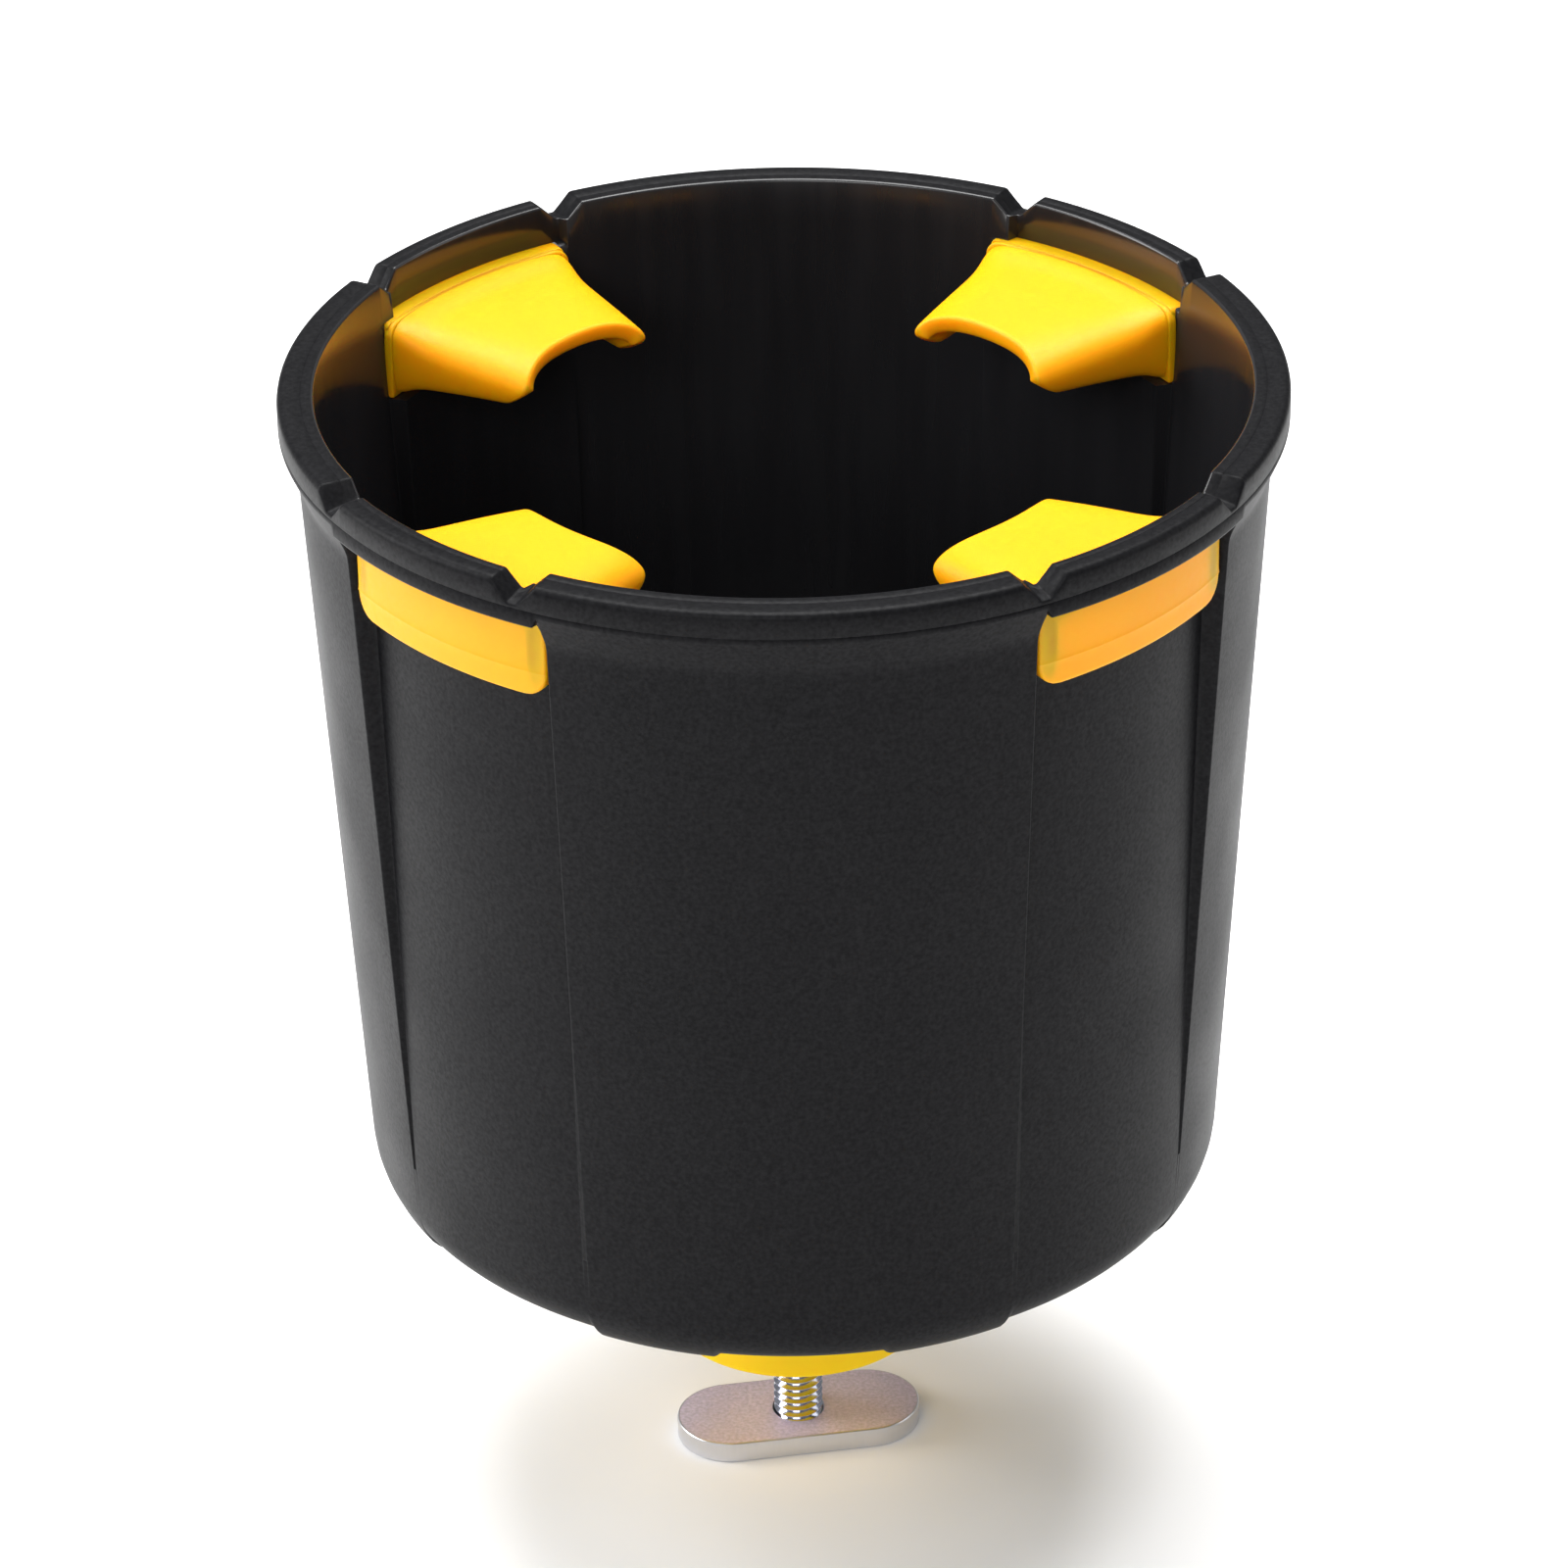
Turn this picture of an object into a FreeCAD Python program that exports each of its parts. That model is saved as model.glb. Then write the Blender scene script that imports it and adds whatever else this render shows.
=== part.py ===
import FreeCAD, Part
import math
import os

# A cup holder that clamps to a slotted track. A moulded cup carries four silicone grips in
# windows under its rim, and stands on a spacer. A screw runs from the cup's floor through the
# spacer into a T plate, which hangs inside the track and is drawn up as the screw is turned.
#
# Origin: the underside of the spacer on the screw's axis, where the holder rests on the track.
# +Z is up and the front faces -Y. Lengths are in millimetres and angles in degrees.

# cup
cup_height = 104.0          # foot to rim
foot_lift = 22.3            # foot above the track
wall_radius = 56.0          # outside of the wall, carried up to the rim
wall_draft = 3.2            # the wall leans in by this angle towards the floor
wall_thickness = 2.7
floor_thickness = 2.6
floor_round = 4.0           # inside corner between wall and floor
base_round = 6.0            # outside corner between wall and base
lip_overhang = 1.5          # lip beyond the wall
lip_depth = 5.0             # rim to the lip's underside over the grips
lip_straight = 3.6          # upright part of the lip between the grips
lip_blend = 8.0             # rim to where the lip has blended into the wall
lip_edge_round = 0.8
lip_thickness_at_grip = 3.1

# recessed panels, one on each diagonal
panel_half_angle = 16.1
panel_recess = 2.65         # depth of the recess under the lip
panel_fade = 90.0           # rim to where the recess has run out
panel_thickness = 2.4

# notches through the rim, one each side of every panel
notch_half_angle = 30.0     # from the middle of a full panel to its notches
notch_turn = -1.6           # the rim's pattern is turned this much against the panels
notch_top_width = 5.3
notch_floor_width = 1.2
notch_depth = 2.2
notch_fall = 9.0            # slope of the notch's floor, down and outwards

# feet under the full panels
foot_depth = 1.9            # base to foot
foot_width = 4.3
foot_round = 8.0            # outside corner between wall and foot
foot_relief_width = 17.0
foot_relief_depth = 1.0

# well in the floor that takes the screw's head, and the drains
well_gap = 0.4              # washer to the side of the well
well_sink = 0.3             # screw's head below the floor
drain_diameter = 4.0
drain_radius = 30.0

# grips
pad_height = 10.0
pad_proud = 1.9             # pad beyond the recessed panel
pad_corner = 3.0
pad_side_gap = 0.2          # pad to the sides of the recess
pad_lip_gap = 0.1           # pad to the lip's underside
pad_lap = 0.7               # pad beyond the window at its sides and bottom
window_gap = 0.1            # grip's neck inside the window
flap_free_radius = 34.4     # the four flaps leave this radius free
flap_tip_half_width = 10.4
flap_root_half_width = 14.0
flap_root_drop = 5.4        # rim to the top of the flap at its root
flap_root_height = 7.8
flap_tip_drop = 6.2         # rim to the top of the flap at its free edge
flap_tip_height = 5.9
flap_skin = 2.0
flap_round = 4.0            # from the top of the flap to its sides
flap_toe_round = 3.0        # lower front corner of the sides
flap_gap = 0.3              # flap to the inside of the panel

# spacer
spacer_diameter = 33.0
spacer_edge = 0.6
spigot_gap = 0.2            # spacer to the outside of the well

# screw, washer and plate
screw_diameter = 6.0
screw_pitch = 1.0
screw_length = 40.0
thread_depth = 0.55
head_diameter = 10.5
head_height = 3.3
head_round = 2.2
socket_width = 4.0
socket_depth = 2.0
screw_hole_gap = 0.3        # hole to screw, all round
washer_diameter = 18.0
washer_thickness = 1.6
plate_length = 30.1
plate_width = 13.2
plate_thickness = 2.7
plate_gap = 15.4            # spacer to plate
plate_turn = 8.8
plate_hole_gap = 0.2        # hole to screw, all round
plate_countersink = 0.6

# places worked out from the sizes
rim = foot_lift + cup_height
base = foot_lift + foot_depth
floor_top = base + floor_thickness
lip_radius = wall_radius + lip_overhang
lip_underside = rim - lip_depth
fade_height = rim - panel_fade
slope = math.tan(math.radians(wall_draft))
reach = 2.0 * lip_radius

FULL_PANELS = (0, 90, 180, 270)
GRIPS = {"back_right": 45, "back_left": 135, "front_left": 225, "front_right": 315}
ORIGIN = FreeCAD.Vector(0, 0, 0)
UP = FreeCAD.Vector(0, 0, 1)


def wall_at(height):
    """Outside radius of the wall."""
    return wall_radius - (rim - height) * slope


def panel_at(height):
    """Outside radius of a recessed panel: full recess at the lip, none where it fades."""
    share = (height - fade_height) / (lip_underside - fade_height)
    low = wall_at(fade_height)
    high = wall_at(lip_underside) - panel_recess
    return low + share * (high - low)


def outline(corners):
    """Closed wire in the XZ plane through (x, z, round) corners; round is 0 for a sharp one."""
    points = [FreeCAD.Vector(x, 0, z) for x, z, _ in corners]
    edges = []
    ends = []
    for index, (_, _, size) in enumerate(corners):
        here = points[index]
        back = points[index - 1] - here
        on = points[(index + 1) % len(points)] - here
        if size == 0:
            ends.append((here, here))
            continue
        half = back.getAngle(on) / 2
        back.normalize()
        on.normalize()
        middle = back + on
        middle.normalize()
        start = here + back * (size / math.tan(half))
        end = here + on * (size / math.tan(half))
        top = here + middle * (size / math.sin(half) - size)
        edges.append(Part.Arc(start, top, end).toShape())
        ends.append((start, end))
    for index, (start, _) in enumerate(ends):
        before = ends[index - 1][1]
        if before.distanceToPoint(start) > 1e-6:
            edges.append(Part.LineSegment(before, start).toShape())
    return Part.Wire(Part.__sortEdges__(edges))


def spun(corners):
    """Solid of revolution about the screw's axis."""
    return Part.Face(outline(corners)).revolve(ORIGIN, UP, 360)


def turned(shape, angle):
    """A copy turned about the screw's axis."""
    copy = shape.copy()
    copy.rotate(ORIGIN, UP, angle)
    return copy


def slice_of_cup(middle, half_angle, low, high):
    """Pie slice about the axis, from low to high."""
    pie = Part.makeCylinder(reach, high - low, FreeCAD.Vector(0, 0, low), UP, 2 * half_angle)
    return turned(pie, middle - half_angle)


def disc(radius, low, high):
    """Round bar on the screw's axis."""
    return Part.makeCylinder(radius, high - low, FreeCAD.Vector(0, 0, low))


def panel_cone(inset, low, high):
    """Solid inside a recessed panel's surface, moved in by inset."""
    bottom = panel_at(low) - inset
    top = panel_at(high) - inset
    return Part.makeCone(bottom, top, high - low, FreeCAD.Vector(0, 0, low))


def radial_bar(corners, inner, outer):
    """Bar along +X from inner to outer radius; its section's corners are (sideways, z, round)."""
    face = Part.Face(outline(corners))
    face.rotate(ORIGIN, UP, 90)
    face.translate(FreeCAD.Vector(inner, 0, 0))
    return face.extrude(FreeCAD.Vector(outer - inner, 0, 0))


def rectangle(half_width, low, high, corner):
    """Corners of an upright rectangle about the middle."""
    return [
        (-half_width, low, corner),
        (half_width, low, corner),
        (half_width, high, corner),
        (-half_width, high, corner),
    ]


# the pad fills its recess from side to side, under the lip
pad_top = lip_underside - pad_lip_gap
pad_bottom = pad_top - pad_height
panel_face = panel_at((pad_top + pad_bottom) / 2)
pad_half_width = panel_face * math.sin(math.radians(panel_half_angle)) - pad_side_gap
pad_face = panel_face + pad_proud
window_bottom = pad_bottom + pad_lap
window_half_width = pad_half_width - pad_lap

# the flap hangs just inside the panel and bends about the window's lower edge
flap_bottom = rim - flap_root_drop - flap_root_height
flap_root_radius = panel_at(window_bottom) - panel_thickness - flap_gap
toe_radius = math.sqrt(flap_free_radius ** 2 - flap_tip_half_width ** 2)

# the screw's head sits on the washer, down in the well
well_floor = floor_top - well_sink - head_height - washer_thickness
well_radius = washer_diameter / 2 + well_gap
spigot_radius = well_radius + floor_thickness
spigot_end = well_floor - floor_thickness
head_seat = well_floor + washer_thickness
screw_end = head_seat - screw_length
screw_hole = screw_diameter / 2 + screw_hole_gap
plate_top = -plate_gap


def wall_and_base():
    """Outside of the cup without recesses: base, wall and lip."""
    return spun([
        (0, base, 0),
        (wall_at(base), base, base_round),
        (wall_at(rim - lip_blend), rim - lip_blend, base_round),
        (lip_radius, rim - lip_straight, lip_edge_round),
        (lip_radius, rim, lip_edge_round),
        (0, rim, 0),
    ])


def foot_ring():
    """Outside of a full panel where it runs down to the foot."""
    joint = base + 2 * foot_round
    inner = wall_at(foot_lift) - foot_round - foot_width / 2
    return spun([
        (inner, foot_lift, 0),
        (wall_at(foot_lift), foot_lift, foot_round),
        (wall_at(joint), joint, 0),
        (inner, joint, 0),
    ])


def cavity():
    """Inside of the cup between the full panels."""
    inside = wall_thickness
    above = rim + lip_depth
    return spun([
        (0, floor_top, 0),
        (wall_at(floor_top) - inside, floor_top, floor_round),
        (wall_at(above) - inside, above, 0),
        (0, above, 0),
    ])


def panel_wall():
    """One recessed panel along +X, as thick as it is moulded."""
    shell = panel_cone(0, fade_height, lip_underside)
    shell = shell.cut(panel_cone(panel_thickness, fade_height, lip_underside))
    return shell.common(slice_of_cup(0, panel_half_angle, fade_height, lip_underside))


def panel_recess_cut():
    """What the recess takes off the outside of the wall along +X."""
    wedge = slice_of_cup(0, panel_half_angle, fade_height, lip_underside)
    return wedge.cut(panel_cone(0, fade_height, lip_underside))


def grip_lip():
    """The lip over one grip, which stands straight down to the window."""
    wedge = slice_of_cup(0, panel_half_angle, lip_underside, rim - lip_edge_round)
    return wedge.common(disc(lip_radius, lip_underside, rim))


def grip_lip_inside():
    """Room inside the lip over one grip, which is thinner than the wall beside it."""
    wedge = slice_of_cup(0, 45 - notch_half_angle, lip_underside, rim + 1)
    return wedge.common(disc(lip_radius - lip_thickness_at_grip, lip_underside, rim + 1))


def window():
    """Opening for a grip under the lip, along +X."""
    corners = rectangle(window_half_width, window_bottom, lip_underside, pad_corner - pad_lap)
    return radial_bar(corners, flap_root_radius - wall_thickness, lip_radius + 1)


def notch():
    """V notch with a narrow floor across the rim, along +X, falling outwards."""
    low = rim - notch_depth
    growth = (notch_top_width - notch_floor_width) / 2 / notch_depth
    extra = lip_depth
    wide = notch_top_width / 2 + growth * extra
    bar = radial_bar([
        (-notch_floor_width / 2, low, 0),
        (notch_floor_width / 2, low, 0),
        (wide, rim + extra, 0),
        (-wide, rim + extra, 0),
    ], lip_radius - 2 * lip_depth, lip_radius + lip_depth)
    middle = FreeCAD.Vector(lip_radius - lip_thickness_at_grip / 2, 0, low)
    bar.rotate(middle, FreeCAD.Vector(0, 1, 0), notch_fall)
    return bar


def foot_relief():
    """Shallow gap in the middle of a foot that lets water out, along +X."""
    high = foot_lift + foot_relief_depth
    half = foot_relief_width / 2
    return radial_bar([
        (-half - 2 * foot_relief_depth, foot_lift - foot_relief_depth, 0),
        (half + 2 * foot_relief_depth, foot_lift - foot_relief_depth, 0),
        (half, high, 0),
        (-half, high, 0),
    ], spacer_diameter / 2 + 1, reach)


def cup_body():
    """The moulded cup: wall, recessed panels, lip, floor with its well, and feet."""
    body = wall_and_base()
    ring = foot_ring()
    for angle in FULL_PANELS:
        span = slice_of_cup(angle, 45 - panel_half_angle, foot_lift, base + 2 * foot_round)
        body = body.fuse(ring.common(span))
    for angle in GRIPS.values():
        body = body.cut(turned(panel_recess_cut(), angle))
        body = body.fuse(turned(grip_lip(), angle))
    body = body.fuse(disc(spigot_radius, spigot_end, floor_top))
    body = body.cut(cavity())
    body = body.cut(disc(well_radius, well_floor, rim))
    for angle in GRIPS.values():
        body = body.fuse(turned(panel_wall(), angle))
        body = body.cut(turned(window(), angle))
        body = body.cut(turned(grip_lip_inside(), angle + notch_turn))
    for angle in FULL_PANELS:
        body = body.cut(turned(notch(), angle + notch_half_angle + notch_turn))
        body = body.cut(turned(notch(), angle - notch_half_angle + notch_turn))
        body = body.cut(turned(foot_relief(), angle))
        hole = Part.makeCylinder(drain_diameter / 2, rim, FreeCAD.Vector(drain_radius, 0, 0))
        body = body.cut(turned(hole, angle + 45))
    return body.cut(disc(screw_hole, 0, rim)).removeSplitter()


def grip_pad(angle):
    """Outer part of a grip: the pad in the recess and its neck through the window."""
    flange_corners = rectangle(pad_half_width, pad_bottom, pad_top, pad_corner)
    flange = radial_bar(flange_corners, flap_root_radius, lip_radius)
    flange = flange.common(disc(pad_face, pad_bottom, pad_top))
    flange = flange.cut(panel_cone(0, fade_height, lip_underside))
    half = window_half_width - window_gap
    neck_corners = rectangle(half, window_bottom + window_gap, pad_top, pad_corner - pad_lap)
    neck = radial_bar(neck_corners, flap_root_radius - wall_thickness, lip_radius)
    neck = neck.common(disc(panel_face + pad_proud / 2, 0, rim))
    neck = neck.cut(disc(flap_root_radius + flap_gap, 0, rim))
    return turned(flange.fuse(neck).removeSplitter(), angle)


def hood_section(radius, half_width, drop, height):
    """Upturned trough, square to the radius, as a closed wire."""
    top = rim - drop
    bottom = top - height
    inner = flap_round - flap_skin
    wire = outline([
        (-half_width, bottom, 0),
        (-half_width, top, flap_round),
        (half_width, top, flap_round),
        (half_width, bottom, 0),
        (half_width - flap_skin, bottom, 0),
        (half_width - flap_skin, top - flap_skin, inner),
        (-half_width + flap_skin, top - flap_skin, inner),
        (-half_width + flap_skin, bottom, 0),
    ])
    wire.rotate(ORIGIN, UP, 90)
    wire.translate(FreeCAD.Vector(radius, 0, 0))
    return wire


def flap_side():
    """Side view of a flap as a bar across it, with its toe rounded."""
    face = Part.Face(outline([
        (flap_root_radius, flap_bottom, 0),
        (toe_radius, rim - flap_tip_drop - flap_tip_height, flap_toe_round),
        (toe_radius, rim, 0),
        (flap_root_radius, rim, 0),
    ]))
    face.translate(FreeCAD.Vector(0, -flap_root_half_width, 0))
    return face.extrude(FreeCAD.Vector(0, 2 * flap_root_half_width, 0))


def grip_flap(angle):
    """Inner part of a grip: a hooded flap that reaches in to hold a can."""
    root = hood_section(flap_root_radius, flap_root_half_width, flap_root_drop, flap_root_height)
    tip = hood_section(toe_radius, flap_tip_half_width, flap_tip_drop, flap_tip_height)
    flap = Part.makeLoft([root, tip], True, True).common(flap_side())
    flap = flap.common(disc(flap_root_radius, 0, rim)).cut(disc(flap_free_radius, 0, rim))
    return turned(flap, angle)


def spacer():
    """Bush that carries the cup above the track and takes the well in its top."""
    radius = spacer_diameter / 2
    socket = spigot_radius + spigot_gap
    return spun([
        (screw_hole, 0, 0),
        (radius, 0, spacer_edge),
        (radius, base, spacer_edge),
        (socket, base, 0),
        (socket, spigot_end - spigot_gap, 0),
        (screw_hole, spigot_end - spigot_gap, 0),
    ])


def clamp_screw():
    """Button-head screw with a hexagon socket; its thread is drawn as grooves."""
    outer = screw_diameter / 2
    turns = int(screw_length / screw_pitch) - 1
    profile = [(0, screw_end, 0), (outer - thread_depth, screw_end, 0)]
    for turn in range(turns):
        low = screw_end + turn * screw_pitch
        profile.append((outer, low + screw_pitch / 2, 0))
        profile.append((outer - thread_depth, low + screw_pitch, 0))
    profile.append((outer - thread_depth, head_seat, 0))
    profile.append((head_diameter / 2, head_seat, 0))
    profile.append((head_diameter / 2, head_seat + head_height, head_round))
    profile.append((0, head_seat + head_height, 0))
    screw = spun(profile)
    corner = socket_width / 2 / math.cos(math.radians(30))
    points = []
    for side in range(7):
        turn = math.radians(60 * side)
        height = head_seat + head_height - socket_depth
        points.append(FreeCAD.Vector(corner * math.cos(turn), corner * math.sin(turn), height))
    socket = Part.Face(Part.makePolygon(points)).extrude(FreeCAD.Vector(0, 0, head_height))
    return screw.cut(socket)


def washer():
    """Wide washer between the screw's head and the floor of the well."""
    ring = disc(washer_diameter / 2, well_floor, head_seat)
    return ring.cut(disc(screw_hole, well_floor, head_seat))


def track_plate():
    """T plate with round ends, which hangs on the screw inside the track."""
    end = plate_width / 2
    straight = plate_length / 2 - end
    low = plate_top - plate_thickness
    plate = Part.makeBox(2 * straight, plate_width, plate_thickness,
                         FreeCAD.Vector(-straight, -end, low))
    for side in (-straight, straight):
        plate = plate.fuse(Part.makeCylinder(end, plate_thickness, FreeCAD.Vector(side, 0, low)))
    hole = screw_diameter / 2 + plate_hole_gap
    plate = plate.cut(disc(hole, low, plate_top))
    sink = Part.makeCone(hole, hole + plate_countersink, plate_countersink,
                         FreeCAD.Vector(0, 0, plate_top - plate_countersink))
    return turned(plate.cut(sink).removeSplitter(), plate_turn)


def save(name, shape):
    """Write one node and say what it holds."""
    print(name, "solids", len(shape.Solids), "valid", shape.isValid(), "mm3", round(shape.Volume, 1))
    shape.exportStep("parts/" + name + ".step")


os.makedirs("parts", exist_ok=True)
save("cup_body", cup_body())
for place, angle in GRIPS.items():
    save("grip_pad_" + place, grip_pad(angle))
    save("grip_flap_" + place, grip_flap(angle))
save("spacer", spacer())
save("clamp_screw", clamp_screw())
save("washer", washer())
save("track_plate", track_plate())
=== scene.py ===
import math

import bmesh
import bpy
from bpy.props import FloatProperty, FloatVectorProperty, PointerProperty
from mathutils import Matrix, Vector


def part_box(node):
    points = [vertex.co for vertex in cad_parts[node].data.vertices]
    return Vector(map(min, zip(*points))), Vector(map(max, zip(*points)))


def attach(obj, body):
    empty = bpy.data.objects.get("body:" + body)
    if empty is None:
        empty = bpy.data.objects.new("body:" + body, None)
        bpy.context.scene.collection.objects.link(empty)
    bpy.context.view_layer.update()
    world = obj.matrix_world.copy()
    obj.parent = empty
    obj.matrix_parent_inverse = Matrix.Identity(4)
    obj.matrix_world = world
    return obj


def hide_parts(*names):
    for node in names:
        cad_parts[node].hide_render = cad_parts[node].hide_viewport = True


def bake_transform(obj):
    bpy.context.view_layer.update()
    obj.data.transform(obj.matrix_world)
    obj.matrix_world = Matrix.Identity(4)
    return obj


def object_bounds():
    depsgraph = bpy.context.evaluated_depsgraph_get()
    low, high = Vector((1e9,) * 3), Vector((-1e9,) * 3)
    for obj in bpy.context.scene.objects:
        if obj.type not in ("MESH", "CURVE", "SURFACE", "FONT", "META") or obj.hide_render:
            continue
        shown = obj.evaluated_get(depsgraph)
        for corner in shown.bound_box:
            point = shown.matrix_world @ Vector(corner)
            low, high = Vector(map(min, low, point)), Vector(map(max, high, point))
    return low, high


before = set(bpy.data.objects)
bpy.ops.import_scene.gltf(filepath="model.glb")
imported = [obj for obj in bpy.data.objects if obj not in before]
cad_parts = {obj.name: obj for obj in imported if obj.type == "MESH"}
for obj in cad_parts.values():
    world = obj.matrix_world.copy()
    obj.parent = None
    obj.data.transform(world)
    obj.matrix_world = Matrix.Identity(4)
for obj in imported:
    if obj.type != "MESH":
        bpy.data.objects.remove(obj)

bl_info = {
    "name": "Track mount cup holder",
    "version": (1, 0, 0),
    "blender": (4, 5, 0),
    "location": "View3D > Sidebar > Cup holder",
    "description": "Makes a moulded cup holder with silicone grips and its track clamp",
    "category": "Add Mesh",
}

CAD_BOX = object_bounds()

MM = 0.001
UP = Vector((0, 0, 1))
ORIGIN = Vector((0, 0, 0))

# directions of the four grips about the screw's axis, in degrees
GRIPS = {"back_right": 45, "back_left": 135, "front_left": 225, "front_right": 315}

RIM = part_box("cup_body")[1].z
SPACER_LOW, SPACER_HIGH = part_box("spacer")
SCREW_LOW, SCREW_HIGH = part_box("clamp_screw")
WASHER_LOW, WASHER_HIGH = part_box("washer")
PLATE_LOW, PLATE_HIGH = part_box("track_plate")


# ---------------------------------------------------------------- sizes and colours

def length(label, about, size):
    """A length property whose default is given in millimetres."""
    return FloatProperty(name=label, description=about, default=size * MM, min=0, unit="LENGTH")


def turn(label, about, degrees):
    """An angle property whose default is given in degrees."""
    return FloatProperty(name=label, description=about, default=math.radians(degrees),
                         subtype="ANGLE", unit="ROTATION")


def colour(label, about, code):
    """A colour property whose default is an sRGB hex value."""
    return FloatVectorProperty(name=label, description=about, default=linear(code),
                               size=4, min=0, max=1, subtype="COLOR")


def linear(code):
    """Linear RGBA of an sRGB hex value."""
    parts = [int(code[i:i + 2], 16) / 255 for i in (0, 2, 4)]
    return [c / 12.92 if c <= 0.04045 else ((c + 0.055) / 1.055) ** 2.4 for c in parts] + [1.0]


class CupSizes(bpy.types.PropertyGroup):
    """Sizes of the moulded cup."""
    lip_radius: length("Lip radius", "Outside of the lip", 57.5)
    wall_radius: length("Wall radius", "Outside of the wall carried up to the rim", 56.0)
    wall_draft: turn("Wall draft", "Lean of the wall towards the floor", 3.2)
    wall_thickness: length("Wall thickness", "Between the panels", 2.7)
    panel_thickness: length("Panel thickness", "Of the recessed panels", 2.4)
    panel_recess: length("Panel recess", "Depth of a recess under the lip", 2.65)
    panel_fade: length("Panel fade", "Rim to where a recess has run out", 90.0)
    panel_half_angle: turn("Panel half angle", "Middle of a recess to its side", 16.1)
    lip_depth: length("Lip depth", "Rim to the lip's underside over the grips", 5.0)
    lip_straight: length("Lip straight", "Upright part of the lip", 3.6)
    lip_blend: length("Lip blend", "Rim to where the lip meets the wall", 8.0)
    thin_lip: length("Thin lip", "Thickness of the lip over the grips", 3.1)
    notch_half_angle: turn("Notch spacing", "Middle of a grip to its notches", 15.0)
    notch_turn: turn("Notch turn", "Turn of the notches against the panels", -1.6)
    notch_depth: length("Notch depth", "Rim to the notch's floor", 2.2)
    foot_lift: length("Foot height", "Track to the foot", 22.3)
    foot_depth: length("Foot depth", "Base to foot", 1.9)
    floor_thickness: length("Floor thickness", "Of the cup's floor", 2.6)
    drain_radius: length("Drain radius", "Of the four drain holes", 2.0)
    drain_ring: length("Drain ring", "Screw's axis to a drain hole", 30.0)
    well_radius: length("Well radius", "Of the well for the screw's head", 9.4)
    well_floor: length("Well floor", "Track to the floor of the well", 21.6)


class GripSizes(bpy.types.PropertyGroup):
    """Sizes of a silicone grip."""
    pad_height: length("Pad height", "Of the outer pad", 10.0)
    pad_half_width: length("Pad half width", "Middle of the pad to its end", 15.2)
    pad_corner: length("Pad corner", "Round of the pad's corners", 3.0)
    pad_face: length("Pad face", "Screw's axis to the outside of the pad", 54.8)
    root_half_width: length("Root half width", "Of the flap at the wall", 14.15)
    tip_half_width: length("Tip half width", "Of the flap at its free edge", 10.3)
    free_radius: length("Free radius", "Screw's axis to the middle of the free edge", 34.45)
    skin: length("Skin", "Thickness of the flap", 2.1)


class HardwareSizes(bpy.types.PropertyGroup):
    """Sizes of the spacer, screw, washer and plate."""
    thread_pitch: length("Thread pitch", "Of the screw", 1.0)
    thread_depth: length("Thread depth", "Crest to root", 0.6)
    screw_radius: length("Screw radius", "To the thread's crests", 3.0)
    head_radius: length("Head radius", "Of the button head", 5.25)
    socket_width: length("Socket width", "Across the hexagon's flats", 4.0)
    socket_depth: length("Socket depth", "Of the hexagon", 2.0)
    washer_radius: length("Washer radius", "Of the washer", 9.0)
    hole_radius: length("Hole radius", "Of the screw's holes", 3.3)
    plate_length: length("Plate length", "Of the T plate", 30.1)
    plate_width: length("Plate width", "Of the T plate", 13.2)
    tapped_radius: length("Tapped hole radius", "Of the T plate's hole", 3.06)
    plate_turn: turn("Plate turn", "Of the T plate about the screw", 8.8)
    edge_round: length("Edge round", "Of the plate's edges", 0.25)


class Finishes(bpy.types.PropertyGroup):
    """Colours of the object and its stage."""
    plastic: colour("Plastic", "Moulded black plastic", "101012")
    plastic_inside: colour("Plastic inside", "The same plastic where the mould is polished", "1f1f21")
    silicone: colour("Silicone", "The grips", "ffa600")
    spacer: colour("Spacer", "The spacer", "ffd000")
    steel: colour("Steel", "Screw and washer", "c8ccda")
    plate: colour("Plate", "Grained face of the plate", "efe4fa")
    plate_edge: colour("Plate edge", "The plate's cut edge", "d9d9dd")
    floor: colour("Floor", "The stage's floor", "fbfbfb")
    room_light: FloatProperty(name="Room light", description="Brightness of the white room",
                              default=0.25, min=0)


# ---------------------------------------------------------------- materials

def add_node(tree, kind, inputs=None, **settings):
    """Add a shader node with its settings, and feed its inputs with values or sockets."""
    node = tree.nodes.new(kind)
    for name, value in settings.items():
        setattr(node, name, value)
    for name, value in (inputs or {}).items():
        if isinstance(value, bpy.types.NodeSocket):
            tree.links.new(value, node.inputs[name])
        else:
            node.inputs[name].default_value = value
    return node


def new_material(name):
    """An empty material, its node tree and the object coordinates it reads."""
    material = bpy.data.materials.new(name)
    material.use_nodes = True
    tree = material.node_tree
    tree.nodes.clear()
    place = add_node(tree, "ShaderNodeTexCoord").outputs["Object"]
    return material, tree, place


def surface(tree, **values):
    """The material's one shader and its output; keys are socket names with _ for a space."""
    shader = add_node(tree, "ShaderNodeBsdfPrincipled",
                      {key.replace("_", " "): value for key, value in values.items()})
    add_node(tree, "ShaderNodeOutputMaterial", {"Surface": shader.outputs["BSDF"]})
    return shader


def grain(tree, place, size, detail=2.0):
    """Fine noise whose grains are about that size in metres."""
    return add_node(tree, "ShaderNodeTexNoise",
                    {"Vector": place, "Scale": 0.5 / size, "Detail": detail}).outputs["Fac"]


def spread_of(tree, value, low, high):
    """The noise stretched from its middle range to low and high."""
    return add_node(tree, "ShaderNodeMapRange",
                    {"Value": value, "From Min": 0.3, "From Max": 0.7,
                     "To Min": low, "To Max": high}).outputs["Result"]


def scaled(tone, share):
    """A colour with its brightness scaled."""
    return [c * share for c in tone[:3]] + [1.0]


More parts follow.
